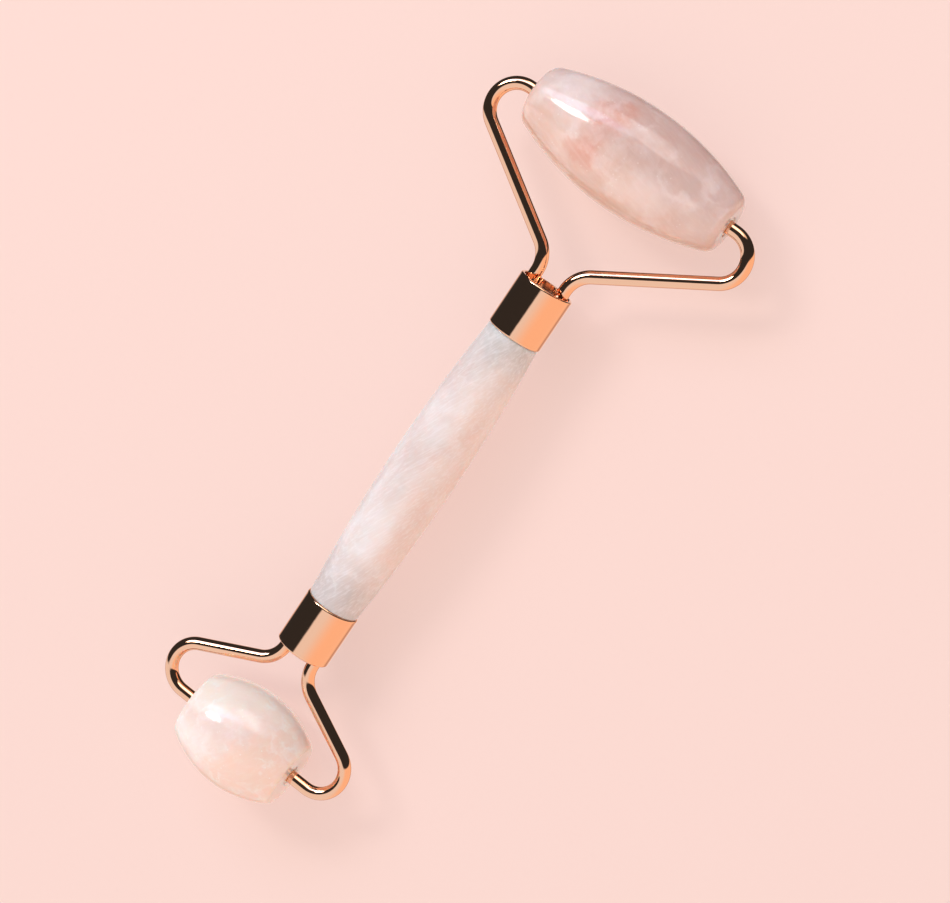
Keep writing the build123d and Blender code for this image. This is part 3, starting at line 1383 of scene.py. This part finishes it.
@dataclass(frozen=True)
class Studio:
    """The room: a pale pink floor, a dim grey room above and a bright pink table edge below, and lamps.

    Polished metal shows the room round it, so the room has a bright side and a dim side. Everything but
    reflections sees a softer light from the same sides.

    Attributes:
        camera: the camera.
        lamps: the softboxes, from the faintest to the brightest.
        floor_width: width of the floor, in metres.
        floor_colour: hex colour of the floor.
        glow: share of the floor's brightness that doesn't depend on the lamps, so shadows stay faint.
        ambient: strength of the soft light from the dim side.
        ambient_colour: its hex colour.
        bounce: strength of the soft light from the table's side.
        bounce_colour: its hex colour.
        backdrop: hex colour behind the floor.
        dim_room: hex colour of the dim side in reflections.
        table: hex colour of the table's side in reflections.
        table_left: hex colour of its left part.
        table_gain: brightness of the table's side.
        behind: hex colour of its part behind the tool.
        table_tilt: degrees below the lens's axis where the table's side begins.
        table_edge: half the width of its blurred edge, as a part of the direction looked in.
        right_part: parts to the right between which the table's side turns from its left colour.
        behind_part: parts away from the camera between which it turns to the colour behind the tool.
        backdrop_part: parts away from the camera between which the backdrop shows.
    """

    camera: Camera = Camera()
    lamps: tuple[Softbox, ...] = (
        Softbox("ceiling_fill", 50.0, -8.0, 84.0, 36.0, 0.0, 1.1, "FFF6EC", 0.25),
        Softbox("roof_strip", 48.0, -17.0, 26.0, 36.0, 0.0, 3.0, "FFFAF4", 0.4),
        Softbox("window_softbox", 46.0, 32.0, 46.0, 17.0, 3.8, 4.9, "D0E0FF", 0.5),
        Softbox("key_lamp", 31.5, 46.0, 20.0, 11.0, 13.0, 24.0, "FFFEFA", 0.4),
    )
    floor_width: float = 8.0
    floor_colour: str = "F9DBD2"
    glow: float = 0.58
    ambient: float = 0.63
    ambient_colour: str = "F4F0F2"
    bounce: float = 1.1
    bounce_colour: str = "FFEAE0"
    backdrop: str = "FBE1D8"
    dim_room: str = "34373A"
    table: str = "FFDEC7"
    table_left: str = "EEF4FF"
    table_gain: float = 1.1
    behind: str = "B98F78"
    table_tilt: float = 13.0
    table_edge: float = 0.03
    right_part: tuple[float, float] = (-0.35, 0.5)
    behind_part: tuple[float, float] = (-0.55, -0.85)
    backdrop_part: tuple[float, float] = (-0.75, -0.95)

    def half(self, tree: bpy.types.NodeTree, way: bpy.types.NodeSocket, direction: Vector,
             span: tuple[float, float]) -> bpy.types.NodeSocket:
        """A soft-edged half of the room.

        Args:
            tree: the world's node tree.
            way: the direction looked in.
            direction: the direction that the half is measured along.
            span: parts along it where the half begins and where it is full.

        Returns:
            The share of the half, from 0 to 1.
        """
        part = add_node(tree, "ShaderNodeVectorMath", {0: way}, {1: direction}, operation="DOT_PRODUCT")
        share = add_node(
            tree, "ShaderNodeMapRange", {"Value": part.outputs["Value"]},
            {"From Min": span[0], "From Max": span[1]}, interpolation_type="SMOOTHSTEP")
        return share.outputs[0]

    def room(self) -> None:
        """The light from all round, by direction: one room for reflections, a softer one for the rest."""
        world = bpy.data.worlds.new("room")
        bpy.context.scene.world = world
        world.use_nodes = True
        tree = world.node_tree
        ray = add_node(tree, "ShaderNodeLightPath")
        way = add_node(tree, "ShaderNodeTexCoord").outputs["Generated"]
        right, up, back = self.camera.axes()
        tilt = math.radians(self.table_tilt)
        upwards = math.cos(tilt) * up + math.sin(tilt) * back
        table_side = self.half(tree, way, upwards, (self.table_edge, -self.table_edge))
        near = add_node(
            tree, "ShaderNodeMixRGB", {"Fac": self.half(tree, way, right, self.right_part)},
            {"Color1": lit(self.table_left, self.table_gain), "Color2": lit(self.table, self.table_gain)})
        table = add_node(
            tree, "ShaderNodeMixRGB",
            {"Fac": self.half(tree, way, back, self.behind_part), "Color1": near.outputs["Color"]},
            {"Color2": linear(self.behind)})
        mirrored = add_node(
            tree, "ShaderNodeMixRGB", {"Fac": table_side, "Color2": table.outputs["Color"]},
            {"Color1": linear(self.dim_room)}).outputs["Color"]
        mirrored = add_node(
            tree, "ShaderNodeMixRGB",
            {"Fac": self.half(tree, way, back, self.backdrop_part), "Color1": mirrored},
            {"Color2": linear(self.backdrop)}).outputs["Color"]
        for lamp in self.lamps:
            mirrored = lamp.face(tree, way, self.camera, mirrored)
        soft = add_node(
            tree, "ShaderNodeMixRGB", {"Fac": table_side},
            {"Color1": lit(self.ambient_colour, self.ambient),
             "Color2": lit(self.bounce_colour, self.bounce)})
        seen = add_node(
            tree, "ShaderNodeMixRGB", {"Fac": ray.outputs["Is Camera Ray"], "Color1": soft.outputs["Color"]},
            {"Color2": linear(self.backdrop)})
        chosen = add_node(
            tree, "ShaderNodeMixRGB",
            {"Fac": ray.outputs["Is Glossy Ray"], "Color1": seen.outputs["Color"], "Color2": mirrored})
        tree.links.new(chosen.outputs["Color"], tree.nodes["Background"].inputs["Color"])

    def floor(self) -> None:
        """A wide floor of matt painted board under the tool."""
        half = self.floor_width / 2
        mesh = bpy.data.meshes.new("floor")
        mesh.from_pydata([(-half, -half, 0), (half, -half, 0), (half, half, 0), (-half, half, 0)], [],
                         [(0, 1, 2, 3)])
        made = bpy.data.objects.new("floor", mesh)
        bpy.context.scene.collection.objects.link(made)
        paint, _, shader = new_material("floor_matt_paint")
        set_inputs(shader, {
            "Base Color": lit(self.floor_colour, 1 - self.glow), "Roughness": 0.9, "Specular IOR Level": 0.1,
            "Emission Color": linear(self.floor_colour), "Emission Strength": self.glow})
        mesh.materials.append(paint)
        made.visible_glossy = False

    def build(self) -> None:
        """Make the camera, the lamps, the room and the floor."""
        self.camera.build()
        for lamp in self.lamps:
            lamp.build(self.camera)
        self.room()
        self.floor()
        bpy.context.scene.view_settings.view_transform = "Standard"
        LOG.info("studio built with %d lamps", len(self.lamps))


# ---------------------------------------------------------------- the whole tool


def main() -> None:
    """Build the studio and the face roller, piece by piece."""
    logging.basicConfig(level=logging.INFO, format="%(name)s: %(message)s")
    Studio().build()
    finishes = Finishes()
    Handle().build(finishes)
    LOG.info("handle built")
    Fork(End.LARGE, corner_x=44.3, corner_y=38.8).build(finishes)
    Fork(End.SMALL, corner_x=44.5, corner_y=35.0).build(finishes)
    Roller(End.LARGE, crown_radius=51.6, corner_rounding=2.2, bore_depth=6.8).build(finishes)
    Roller(End.SMALL, crown_radius=20.0, corner_rounding=1.4, bore_depth=5.3).build(finishes)


if __name__ == "__main__":
    main()
